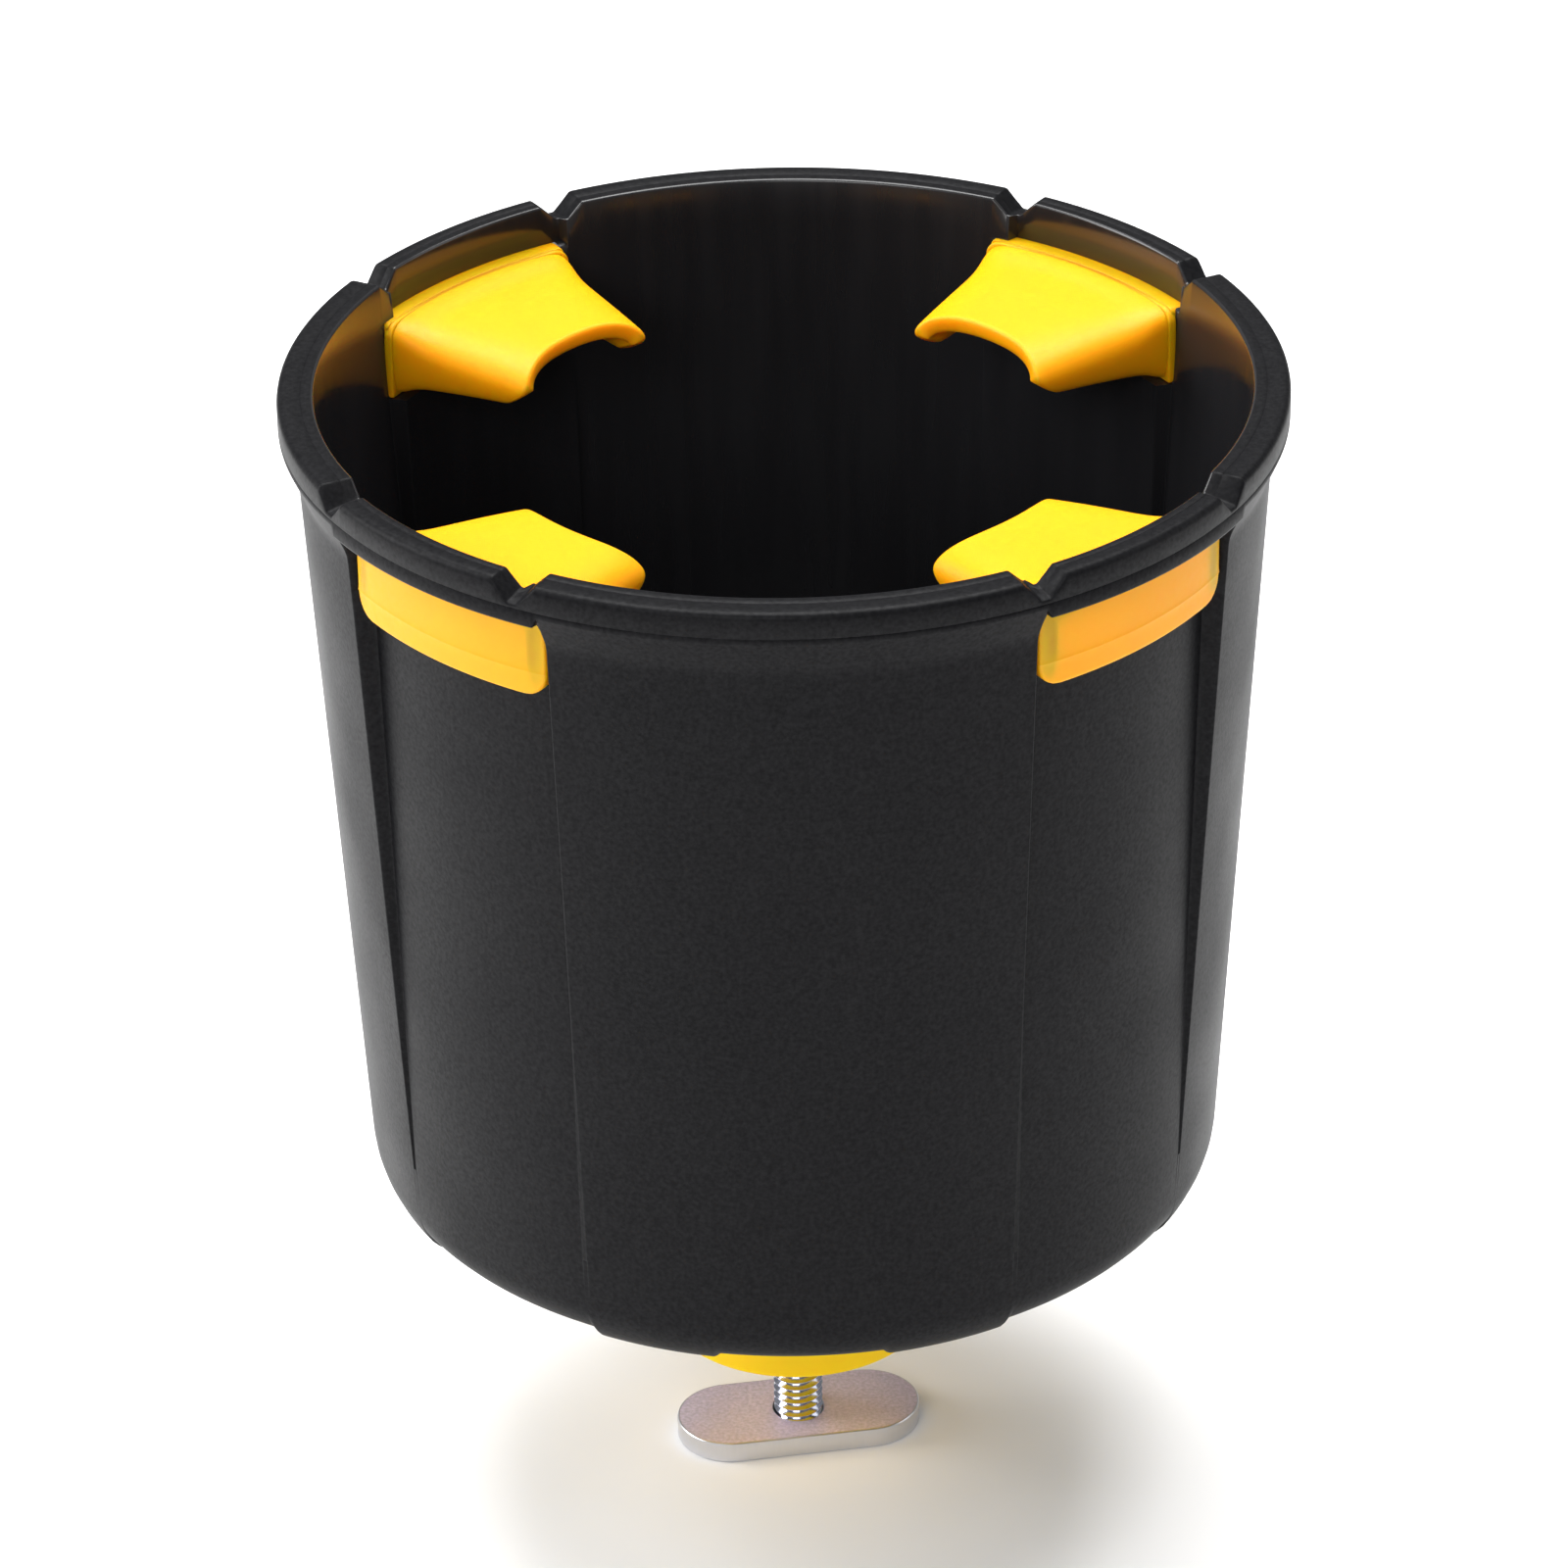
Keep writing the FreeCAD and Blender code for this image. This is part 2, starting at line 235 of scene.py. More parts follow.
def mixed(tree, share, first, second):
    """Two colours mixed by a share; 6 and 7 are the mix node's colour sockets."""
    return add_node(tree, "ShaderNodeMix", {"Factor": share, 6: first, 7: second},
                    data_type="RGBA").outputs[2]


def mottled(tree, value, tone, dark, light):
    """A tone whose brightness runs between two shares with a noise."""
    return mixed(tree, spread_of(tree, value, 0.0, 1.0), scaled(tone, dark), scaled(tone, light))


def bumps(tree, height, strength, depth):
    """A normal that a noise disturbs."""
    return add_node(tree, "ShaderNodeBump", {"Height": height, "Strength": strength,
                                             "Distance": depth}).outputs["Normal"]


def polypropylene_grained(tone):
    """Black polypropylene against a spark-eroded mould: satin, with a fine sparkle of grain."""
    material, tree, place = new_material("polypropylene_spark_eroded")
    fine = grain(tree, place, 0.25 * MM, 3.0)      # the real grit is nearer 0.1 mm
    cloud = grain(tree, place, 9 * MM)
    surface(tree,
            Base_Color=mottled(tree, fine, tone, 0.8, 1.25),
            Roughness=spread_of(tree, cloud, 0.40, 0.50),
            Specular_IOR_Level=spread_of(tree, fine, 0.065, 0.11),
            Normal=bumps(tree, fine, 0.40, 0.035 * MM))
    return material


def polypropylene_polished(tone):
    """The same plastic off the polished core: deep black with long soft reflections."""
    material, tree, place = new_material("polypropylene_polished_core")
    drag = add_node(tree, "ShaderNodeMapping", {"Vector": place, "Scale": (1.0, 1.0, 0.08)})
    streak = grain(tree, drag.outputs["Vector"], 1.2 * MM)
    surface(tree,
            Base_Color=mottled(tree, streak, tone, 0.92, 1.08),
            Roughness=spread_of(tree, streak, 0.17, 0.24),
            Normal=bumps(tree, streak, 0.05, 0.02 * MM))
    return material


def silicone_moulded(name, tone, glow):
    """Pigmented silicone rubber: light sinks in and comes back amber where it is thin."""
    material, tree, place = new_material(name)
    cloud = grain(tree, place, 6 * MM)
    skin = grain(tree, place, 0.35 * MM, 3.0)
    surface(tree,
            Base_Color=mottled(tree, cloud, tone, 0.96, 1.0),
            Roughness=spread_of(tree, skin, 0.40, 0.52),
            Normal=bumps(tree, skin, 0.12, 0.03 * MM),
            IOR=1.41,
            Specular_IOR_Level=0.32,
            Subsurface_Weight=glow,
            Subsurface_Radius=(1.0, 0.32, 0.03),
            Subsurface_Scale=2.6 * MM)
    return material


def steel_rolled(tone):
    """Bright stainless steel with a rolled thread: smooth, hard highlights."""
    material, tree, place = new_material("stainless_steel_rolled_thread")
    fine = grain(tree, place, 0.3 * MM)
    surface(tree,
            Base_Color=mottled(tree, fine, tone, 0.93, 1.0),
            Metallic=1.0,
            Roughness=spread_of(tree, fine, 0.12, 0.20),
            Normal=bumps(tree, fine, 0.06, 0.02 * MM))
    return material


def steel_blanked(tone):
    """Blanked steel whose faces kept the mill's grain: clouded, speckled and half matt."""
    material, tree, place = new_material("mild_steel_blanked_face")
    speck = grain(tree, place, 0.22 * MM, 4.0)
    cloud = grain(tree, place, 4 * MM)
    surface(tree,
            Base_Color=mixed(tree, spread_of(tree, speck, 0.55, 0.0),
                             mottled(tree, cloud, tone, 0.94, 1.06), scaled(tone, 0.5)),
            Metallic=0.55,
            Roughness=spread_of(tree, speck, 0.40, 0.60),
            Normal=bumps(tree, speck, 0.35, 0.04 * MM))
    return material


def steel_sheared(tone):
    """The plate's cut edge: pale, smooth steel that drags a little up and down."""
    material, tree, place = new_material("mild_steel_sheared_edge")
    drag = add_node(tree, "ShaderNodeMapping", {"Vector": place, "Scale": (1.0, 1.0, 0.15)})
    streak = grain(tree, drag.outputs["Vector"], 0.3 * MM)
    surface(tree,
            Base_Color=mottled(tree, streak, tone, 0.97, 1.0),
            Metallic=1.0,
            Roughness=spread_of(tree, streak, 0.32, 0.38),
            Normal=bumps(tree, streak, 0.02, 0.02 * MM))
    return material


def floor_paint(tone):
    """Plain pale studio floor."""
    material, tree, place = new_material("studio_floor_paint")
    cloud = grain(tree, place, 0.4)
    surface(tree,
            Base_Color=mottled(tree, cloud, tone, 0.985, 1.0),
            Roughness=0.9)
    return material


# ---------------------------------------------------------------- mesh helpers

def finish_piece(name, bm, materials, smooth_below=40):
    """A new object from a bmesh, smooth but for its sharp edges."""
    bmesh.ops.recalc_face_normals(bm, faces=bm.faces)
    for face in bm.faces:
        face.smooth = True
    for edge in bm.edges:
        edge.smooth = edge.is_manifold and edge.calc_face_angle(0) < math.radians(smooth_below)
    mesh = bpy.data.meshes.new(name)
    bm.to_mesh(mesh)
    bm.free()
    for material in materials:
        mesh.materials.append(material)
    piece = bpy.data.objects.new(name, mesh)
    bpy.context.scene.collection.objects.link(piece)
    return piece


def verts_of(geometry):
    """The vertices among an operator's results."""
    return [g for g in geometry if isinstance(g, bmesh.types.BMVert)]


def edges_of(geometry):
    """The edges among an operator's results."""
    return [g for g in geometry if isinstance(g, bmesh.types.BMEdge)]


def everything(bm):
    """All of a bmesh, as its operators take it."""
    return bm.verts[:] + bm.edges[:] + bm.faces[:]


def bevel(bm, edges, size, segments):
    """Round edges off."""
    bmesh.ops.bevel(bm, geom=edges, offset=size, offset_type="OFFSET", affect="EDGES",
                    segments=segments, profile=0.5, material=-1)


def soften(piece, levels):
    """A live subdivision surface on a finished piece."""
    modifier = piece.modifiers.new("Subdivision", "SUBSURF")
    modifier.levels = levels
    modifier.render_levels = levels


def fillet(before, corner, after, size, steps):
    """Points along the round of that size that takes off a corner of an outline."""
    corner = Vector(corner)
    back = (Vector(before) - corner).normalized()
    on = (Vector(after) - corner).normalized()
    half = back.angle(on) / 2
    centre = corner + (back + on).normalized() * size / math.sin(half)
    start = corner + back * size / math.tan(half) - centre
    end = corner + on * size / math.tan(half) - centre
    return [centre + start.slerp(end, step / steps) * size for step in range(steps + 1)]


def spread(start, end, count):
    """Points evenly along a line, both ends included."""
    return [Vector(start).lerp(Vector(end), i / (count - 1)) for i in range(count)]


def draw(bm, outline, closed):
    """Vertices and edges of an outline of (radius, height) points in the XZ plane."""
    verts = [bm.verts.new((p[0], 0, p[1])) for p in outline]
    edges = [bm.edges.new(pair) for pair in zip(verts, verts[1:])]
    if closed:
        edges.append(bm.edges.new((verts[-1], verts[0])))
    return verts, edges


def lathe(bm, outline, steps, closed=True):
    """A full spin of an outline about the screw's axis."""
    verts, edges = draw(bm, outline, closed)
    bmesh.ops.spin(bm, geom=verts + edges, cent=ORIGIN, axis=UP, angle=2 * math.pi,
                   steps=steps, use_merge=True, use_duplicate=False)


def smoothstep(x):
    """0 below 0, 1 above 1, and smooth between."""
    x = min(max(x, 0.0), 1.0)
    return x * x * (3 - 2 * x)


# ---------------------------------------------------------------- cup

# angles from the middle of a grip, in degrees, where the cup's mesh has a column of its own
STEP_SIDE = 0.4             # the recess's side takes this much each way of its edge
WINDOW_OUTSIDE = 15.7       # the window widens inwards until the recess's side is gone
WINDOW_INSIDE = 16.6
DRAIN_HALF_ANGLE = 6
NOTCH_FLOOR = 0.6           # half of the notch's floor
NOTCH_TOP = 2.66            # half of its opening
NOTCH_SOFT = 0.13
RELIEF_TOP = 11.1           # foot's relief, from the middle of a full panel
RELIEF_FOOT = 12.5
COLUMN_GAP = 1.05           # the widest gap between columns, and the narrowest
SLIVER = 0.05

RELIEF_HEIGHT = 1.0 * MM    # how far the relief lifts the foot, and what it leaves alone above
RELIEF_REACH = 2.0 * MM
NOTCH_REACH = 2.9 * MM      # the notches leave what is lower than this alone
NOTCH_FALL = 9              # their floor's slope outwards, in degrees


class CupShape:
    """Outlines of the cup's wall and how they change round it."""

    def __init__(self, sizes):
        self.s = s = sizes
        self.slope = math.tan(s.wall_draft)
        self.foot = s.foot_lift
        self.base = self.foot + s.foot_depth
        self.floor = self.base + s.floor_thickness
        self.underside = RIM - s.lip_depth
        self.fade = RIM - s.panel_fade
        self.sill = self.underside - 9.4 * MM
        half = math.degrees(s.panel_half_angle)
        spacing = math.degrees(s.notch_half_angle)
        self.half = half
        shift = math.degrees(s.notch_turn)
        self.notches = (shift - spacing, shift + spacing)
        self.full, self.grip, self.rows = [], [], {}
        self.build()

    def wall(self, z):
        """Outside radius of the wall."""
        return self.s.wall_radius - (RIM - z) * self.slope

    def panel(self, z):
        """Outside radius of a recessed panel."""
        share = (z - self.fade) / (self.underside - self.fade)
        high = self.wall(self.underside) - self.s.panel_recess
        return self.wall(self.fade) + share * (high - self.wall(self.fade))

    def inside(self, z):
        """Inside radius of the wall."""
        return self.wall(z) - self.s.wall_thickness

    def panel_inside(self, z):
        """Inside radius behind a recessed panel."""
        return min(self.panel(z) - self.s.panel_thickness, self.inside(z))

    def add(self, name, full, grip=None):
        """More points for both outlines; the first one's row is kept by name."""
        self.rows[name] = len(self.full)
        self.full += [Vector(p) for p in full]
        self.grip += [Vector(p) for p in (grip or full)]

    def build(self):
        """The two outlines, from under the well out, up, over the rim and down inside."""
        s, base, foot, floor = self.s, self.base, self.foot, self.floor
        hole = 3.3 * MM
        spigot = s.well_radius + s.floor_thickness
        spigot_end = s.well_floor - s.floor_thickness
        ring = s.drain_ring
        room = 3 * MM
        foot_inside = self.wall(foot) - 10.15 * MM
        self.add("spigot", [(hole, spigot_end)]
                 + fillet((hole, spigot_end), (spigot, spigot_end), (spigot, base), 0.6 * MM, 3)
                 + [(spigot, base)])
        self.add("drain_under", spread((ring - room, base), (ring + room, base), 7))
        self.add("foot",
                 fillet((ring, base), (foot_inside, base), (foot_inside, foot), 0.3 * MM, 2)
                 + fillet((foot_inside, base), (foot_inside, foot), (1, foot), 0.4 * MM, 3)
                 + fillet((foot_inside, foot), (self.wall(foot), foot),
                          (self.wall(RIM), RIM), 8 * MM, 10),
                 spread((foot_inside, base), (foot_inside + 2 * MM, base), 7)
                 + fillet((foot_inside, base), (self.wall(base), base),
                          (self.wall(RIM), RIM), 6 * MM, 10))
        self.add("wall", [(self.wall(self.fade), self.fade)])
        lip, edge = s.lip_radius, RIM - s.lip_straight
        low = RIM - s.lip_blend
        under = self.underside
        heights = [self.sill] + [under - drop * MM for drop in (6.8, 4.3, 1.8, 0.3)]
        turn_in = fillet((self.wall(0), 0), (self.wall(low), low), (lip, edge), 6 * MM, 4)
        turn_up = fillet((self.wall(low), low), (lip, edge), (lip, RIM), 0.8 * MM, 3)
        shelf = self.panel(under)
        self.add("sill_outside",
                 [(self.wall(z), z) for z in heights[:2]] + turn_in + turn_up,
                 [(self.panel(z), z) for z in heights]
                 + [(shelf + 0.15 * MM, under), (lip - s.thin_lip + 0.1 * MM, under),
                    (lip - 0.7 * MM, under)]
                 + fillet((0, under), (lip, under), (lip, RIM), 0.35 * MM, 2))
        self.rows["shelf"] = self.rows["sill_outside"] + 6
        seam = RIM - 3.0 * MM
        self.add("seam", [(lip, seam - 0.06 * MM), (lip - 0.05 * MM, seam), (lip, seam + 0.06 * MM)])
        inner = self.inside(RIM)
        self.add("rim", fillet((lip, 0), (lip, RIM), (inner, RIM), 0.8 * MM, 4)
                 + [(inner + 1.58 * MM, RIM), (inner + 1.5 * MM, RIM - 0.05 * MM),
                    (inner + 1.42 * MM, RIM)])
        self.add("rim_inside", fillet((lip, RIM), (inner, RIM), (inner, 0), 0.3 * MM, 2)
                 + [(self.inside(under), under + 0.1 * MM)])
        self.add("panel_inside",
                 [(self.inside(z), z) for z in reversed(heights)],
                 [(self.panel_inside(z), z) for z in reversed(heights)])
        self.grip[self.rows["panel_inside"]].y = under - 0.05 * MM
        self.rows["sill_inside"] = len(self.full) - 1
        self.add("low_inside", [(self.inside(self.fade), self.fade)])
        self.add("floor",
                 fillet((self.inside(RIM), RIM), (self.inside(floor), floor), (0, floor), 4 * MM, 6))
        self.add("drain_top", spread((ring + room, floor), (ring - room, floor), 7))
        self.add("well",
                 fillet((ring, floor), (s.well_radius, floor), (s.well_radius, 0), 0.5 * MM, 2)
                 + fillet((s.well_radius, floor), (s.well_radius, s.well_floor),
                          (hole, s.well_floor), 0.4 * MM, 2)
                 + fillet((s.well_radius, s.well_floor), (hole, s.well_floor),
                          (hole, spigot_end), 0.2 * MM, 1))

    def stops(self):
        """Angles of the mesh's columns between two full panels, in degrees from the grip."""
        fine = [0, 0.25, 1.0, 1.4, 1.8, 2.2, 3.0]
        fine += [bend + ease for bend in (NOTCH_FLOOR, NOTCH_TOP)
                 for ease in (-NOTCH_SOFT, 0, NOTCH_SOFT)]
        found = [-45, 45, -WINDOW_INSIDE, WINDOW_INSIDE, -WINDOW_OUTSIDE, WINDOW_OUTSIDE]
        found += range(-DRAIN_HALF_ANGLE, DRAIN_HALF_ANGLE + 1)
        for side in (-1, 1):
            found += [side * (self.half + i * STEP_SIDE / 4) for i in range(-4, 5)]
            found += [side * (45 - RELIEF_FOOT - 0.2 + i * 0.2) for i in range(10)]
            found += [self.notches[0] + side * offset for offset in fine]
            found += [self.notches[1] + side * offset for offset in fine]
        found.sort()
        kept = [found[0]]
        for angle in found[1:]:
            gap = angle - kept[-1]
            if gap < SLIVER and angle != 45:
                continue
            pieces = max(1, round(gap / COLUMN_GAP))
            kept += [kept[-1] + gap * (i + 1) / pieces for i in range(pieces)]
        return kept

    def notch(self, angle):
        """Share of the notch's depth at an angle, with its corners eased."""
        off = min(abs(angle - middle) for middle in self.notches)
        shares = []
        for ease in (-NOTCH_SOFT, 0, 0, NOTCH_SOFT):
            away = abs(off + ease) - NOTCH_FLOOR
            shares.append(min(max(1 - away / (NOTCH_TOP - NOTCH_FLOOR), 0), 1))
        return sum(shares) / len(shares)

    def place(self, row, angle):
        """Radius and height of a row's point, at an angle in degrees from the grip."""
        away = abs(angle)
        recess = 1 - smoothstep((away - self.half + STEP_SIDE) / (2 * STEP_SIDE))
        full, grip = self.full[row], self.grip[row]
        point = full.lerp(grip, recess)
        r, z = point
        if self.rows["rim"] < row < self.rows["panel_inside"]:
            edge = min(angle - self.notches[0], self.notches[1] - angle)
            thin = min(max(edge / 0.3 + 0.5, 0), 1)
            share = (self.s.lip_radius - r) / (self.s.lip_radius - self.inside(RIM))
            if row > self.rows["rim"] + 4:
                r += thin * min(share, 1) * (self.s.lip_radius - self.s.thin_lip - self.inside(RIM))
            if row == self.rows["panel_inside"] - 1:
                r = full[0] + thin * (self.s.lip_radius - self.s.thin_lip - full[0])
        cut = self.notch(angle)
        keep = RIM - NOTCH_REACH
        if cut and z > keep:
            fall = (r - self.s.lip_radius + 1.5 * MM) * math.tan(math.radians(NOTCH_FALL))
            depth = cut * (self.s.notch_depth + fall)
            z = keep + (z - keep) * (RIM - depth - keep) / (RIM - keep)
        high = self.base + RELIEF_REACH
        if self.rows["foot"] + 2 <= row < self.rows["wall"] and z < high:
            off = 45 - away
            lift = smoothstep((RELIEF_FOOT - off) / (RELIEF_FOOT - RELIEF_TOP)) * RELIEF_HEIGHT
            z += lift * (1 - recess) * (high - z) / (high - self.foot)
        return r, z


def outer_loops(bm, faces):
    """Delete faces and return the edges left open round them."""
    border = {e for f in faces for e in f.edges if any(o not in faces for o in e.link_faces)}
    bmesh.ops.delete(bm, geom=list(faces), context="FACES")
    return [e for e in border if e.is_valid]


def make_cup(sizes, materials):
    """The cup as one closed mesh: a profile spun from column to column, then eased to shape."""
    shape = CupShape(sizes)
    bm = bmesh.new()
    row_of = bm.verts.layers.int.new("row")
    verts, edges = draw(bm, shape.full, True)
    for index, vert in enumerate(verts):
        vert[row_of] = index
    stops = shape.stops()
    last = verts + edges
    for here, there in zip(stops, stops[1:]):
        last = bmesh.ops.spin(bm, geom=last, cent=ORIGIN, axis=UP, steps=1,
                              angle=math.radians(there - here),
                              use_merge=False, use_duplicate=False)["geom_last"]
    quarter = everything(bm)
    for turned in (90, 180, 270):
        copy = bmesh.ops.duplicate(bm, geom=quarter)["geom"]
        bmesh.ops.rotate(bm, verts=verts_of(copy), cent=ORIGIN,
                         matrix=Matrix.Rotation(math.radians(turned), 3, "Z"))
    bmesh.ops.remove_doubles(bm, verts=bm.verts, dist=0.001 * MM)

    # the spin starts on a full panel, 45 degrees before the first grip
    angle_of = bm.verts.layers.float.new("angle")
    count = len(shape.full)
    for vert in bm.verts:
        about = math.degrees(math.atan2(vert.co.y, vert.co.x)) % 360
        vert[angle_of] = (about + 1e-4) % 90 - 45 - 1e-4
        r, z = shape.place(vert[row_of], vert[angle_of])
        vert.co = (r * math.cos(math.radians(about)), r * math.sin(math.radians(about)), z)

    def block(first, final, half, about):
        """Faces between two rows and within an angle of one grip."""
        found = set()
        for face in bm.faces:
            rows = [v[row_of] for v in face.verts]
            if min(rows) < first or max(rows) > final or max(rows) - min(rows) > 1:
                continue
            middle = face.calc_center_median()
            off = math.degrees(math.atan2(middle.y, middle.x)) - about
            if abs((off + 180) % 360 - 180) < half:
                found.add(face)
        return found

    rows = shape.rows
    for face in bm.faces:
        span = [v[row_of] for v in face.verts]
        inner = min(span) >= rows["rim_inside"] and max(span) < count
        face.material_index = 1 if inner and max(span) - min(span) <= 1 else 0
    for about in GRIPS.values():
        outside = outer_loops(bm, block(rows["sill_outside"], rows["shelf"], WINDOW_OUTSIDE, about))
        inside = outer_loops(bm, block(rows["panel_inside"] - 1, rows["sill_inside"],
                                       WINDOW_INSIDE, about))
        bmesh.ops.bridge_loops(bm, edges=outside + inside)
        under = outer_loops(bm, block(rows["drain_under"], rows["drain_under"] + 6,
                                      DRAIN_HALF_ANGLE, about))
        over = outer_loops(bm, block(rows["drain_top"], rows["drain_top"] + 6,
                                     DRAIN_HALF_ANGLE, about))
        middle = Matrix.Rotation(math.radians(about), 4, "Z") @ Matrix.Translation(
            (sizes.drain_ring, 0, shape.base))
        circle = bmesh.ops.create_circle(bm, segments=len(under), radius=sizes.drain_radius,
                                         matrix=middle)["verts"]
        bore = list({e for v in circle for e in v.link_edges})
        bmesh.ops.bridge_loops(bm, edges=under + bore)
        raised = bmesh.ops.extrude_edge_only(bm, edges=bore)["geom"]
        bmesh.ops.translate(bm, verts=verts_of(raised), vec=UP * (shape.floor - shape.base))
        bmesh.ops.bridge_loops(bm, edges=over + edges_of(raised))
    return finish_piece("cup_shell", bm, materials, 50)


# ---------------------------------------------------------------- grips

# radii from the screw's axis, drops from the rim, and half angles at the axis in degrees
NECK_OUTSIDE = 53.0 * MM    # the neck fills the window between these two
NECK_INSIDE = 51.9 * MM
NECK_TOP = 4.95 * MM
NECK_BOTTOM = 14.35 * MM
NECK_HALF_ANGLE = 16.4
NECK_CORNERS = {True: 1.8 * MM, False: 0.4 * MM}        # upper, then lower
PAD_TOP = 4.9 * MM
PAD_BOTTOM = 15.1 * MM
PAD_DEPTH = 2.3 * MM
PAD_CROWN = 0.12 * MM       # how far the middle of its face stands proud
SEAM = 12 * MM              # the pad's moulding line, its half width and its height
SEAM_HALF = 0.16 * MM
SEAM_HEIGHT = 0.14 * MM
FLAP_START = 54.4 * MM      # inside the pad
FLAP_WALL = 50.2 * MM       # where the flap leaves the window
FLAP_BOTTOM = 13.2 * MM
IN_WINDOW = 0.20            # share of the flap's length inside the window
PAST_PAD = 0.06             # share from which it is as wide as the window's inside
BEHIND_PAD_HALF_ANGLE = 15.5
IN_WINDOW_HALF_ANGLE = 16.35
TOE_PLACE = 9 * MM          # from the flap's middle to its toes, and how far they reach in
TOE_REACH = 2.1 * MM
TOE_TOP = 9.2 * MM          # below this the free edge is cut back, fully after the depth
TOE_DEPTH = 2.9 * MM
TOE_CUT = 3.6 * MM
# shares of the flap's length where its mesh has a ring
FLAP_RINGS = (0.02, 0.05, 0.07, 0.10, 0.14, 0.2, 0.27, 0.36, 0.48, 0.6, 0.72, 0.83, 0.91,
              0.965, 1.0)


def hood_point(s, along, about):
    """A point on the flap's outer skin: along 0 at the pad to 1 at the free edge, about 0 to pi."""
    out = max(0.0, (along - IN_WINDOW) / (1 - IN_WINDOW))
    width = s.root_half_width + (s.tip_half_width - s.root_half_width) * out
    if along < IN_WINDOW:
        radius = FLAP_START + (FLAP_WALL - FLAP_START) * along / IN_WINDOW
        half_angle = BEHIND_PAD_HALF_ANGLE if along < PAST_PAD else IN_WINDOW_HALF_ANGLE
        width = radius * math.sin(math.radians(half_angle))
    step = 0.4 * MM * smoothstep((along - 0.15) / 0.12)      # down, as it leaves the window
    fall = 0.78 * MM * out ** 1.3                            # on down to the free edge
    top = RIM - NECK_TOP - step - fall
    root = max(0, 1 - out / 0.25) ** 2                       # squarer beside the window
    low = RIM - FLAP_BOTTOM + 1.1 * MM * out - 1.0 * MM * root
    power = 2 / (5.5 - 2.4 * out + 4.5 * root)               # of the rounded section
    side = math.copysign(abs(math.cos(about)) ** power, math.cos(about))
    lift = max(math.sin(about), 0) ** power
    y, z = side * width, low + lift * (top - low)
    free = s.free_radius - TOE_REACH * min(abs(y) / TOE_PLACE, 1.1) ** 2
    toe = min(max((RIM - TOE_TOP - z) / TOE_DEPTH, 0), 1)
    free += TOE_CUT * toe ** 1.8
    start = math.sqrt(FLAP_START ** 2 - (0.9 * y) ** 2)
    return Vector((start + (free - start) * along, y, z))


def make_neck(bm):
    """The part of the grip that fills the window, a little wider than the pad."""
    outer, inner = NECK_OUTSIDE, NECK_INSIDE
    low, high = RIM - NECK_BOTTOM, RIM - NECK_TOP
    width = 2 * outer * math.radians(NECK_HALF_ANGLE)
    place = (Matrix.Translation(((outer + inner) / 2, 0, (low + high) / 2))
             @ Matrix.Diagonal((outer - inner, width, high - low, 1)))
    verts = bmesh.ops.create_cube(bm, size=1, matrix=place)["verts"]
    corners = {e for v in verts for e in v.link_edges
               if abs((e.verts[0].co - e.verts[1].co).x) > (outer - inner) / 2}
    middle = (low + high) / 2
    for above, size in NECK_CORNERS.items():
        bevel(bm, [e for e in corners if e.is_valid and (e.verts[0].co.z > middle) == above],
              size, 4)
    borders = [e for e in bm.edges if abs((e.verts[0].co - e.verts[1].co).x) < 0.001 * MM]
    bevel(bm, borders, 0.15 * MM, 1)
    for step in range(-5, 6):
        bmesh.ops.bisect_plane(bm, geom=everything(bm),
                               plane_co=(0, step * 2.6 * MM, 0), plane_no=(0, 1, 0))
    wrap(bm.verts, outer)


def wrap(verts, radius):
    """Bend flat geometry round the screw's axis, true to length at that radius."""
    for vert in verts:
        x, y, z = vert.co
        vert.co = (x * math.cos(y / radius), x * math.sin(y / radius), z)


def make_pad(bm, s):
    """The outer pad: a rounded block wrapped on the recess, with its moulding seam."""
    face, low, high = s.pad_face, RIM - PAD_BOTTOM, RIM - PAD_TOP
    depth = PAD_DEPTH
    middle = (low + high) / 2
    made = bmesh.ops.create_cube(bm, size=1, matrix=Matrix.Translation((face - depth / 2, 0, middle))
                                 @ Matrix.Diagonal((depth, 2 * s.pad_half_width, high - low, 1)))
    verts = made["verts"]
    faces = {f for v in verts for f in v.link_faces}
    corners = [e for f in faces for e in f.edges
               if abs((e.verts[0].co - e.verts[1].co).x) > depth / 2]
    for above, size in ((True, s.pad_corner / 4), (False, s.pad_corner)):
        bevel(bm, [e for e in set(corners) if e.is_valid
                   and (e.verts[0].co.z > middle) == above], size, 5)
    front = [f for f in bm.faces if f.calc_center_median().x > face - 0.01 * MM]
    bevel(bm, [e for f in front for e in f.edges], 0.45 * MM, 3)
    behind = [e for e in bm.edges if all(abs(v.co.x - face + depth) < 0.001 * MM for v in e.verts)]
    bevel(bm, behind, 0.12 * MM, 2)
    for step in range(-11, 12):
        bmesh.ops.bisect_plane(bm, geom=pad_geometry(bm, face, depth),
                               plane_co=(0, step * 1.2 * MM, 0), plane_no=(0, 1, 0))
    seam = RIM - SEAM
    for height in (seam - SEAM_HALF, seam, seam + SEAM_HALF, seam + 2.4 * MM, seam + 4.4 * MM):
        bmesh.ops.bisect_plane(bm, geom=pad_geometry(bm, face, depth),
                               plane_co=(0, 0, height), plane_no=(0, 0, 1))
    half = s.pad_half_width
    verts = set(verts_of(pad_geometry(bm, face, depth)))
    for vert in verts:
        x, y, z = vert.co
        proud = (x - face + depth) / depth
        if proud > 0.95:
            x += PAD_CROWN * (1 - (y / half) ** 2) * (1 - ((z - middle) / (5 * MM)) ** 2)
            if abs(z - seam) < 0.05 * MM:
                x += SEAM_HEIGHT
            vert.co.x = x
    wrap(verts, face)


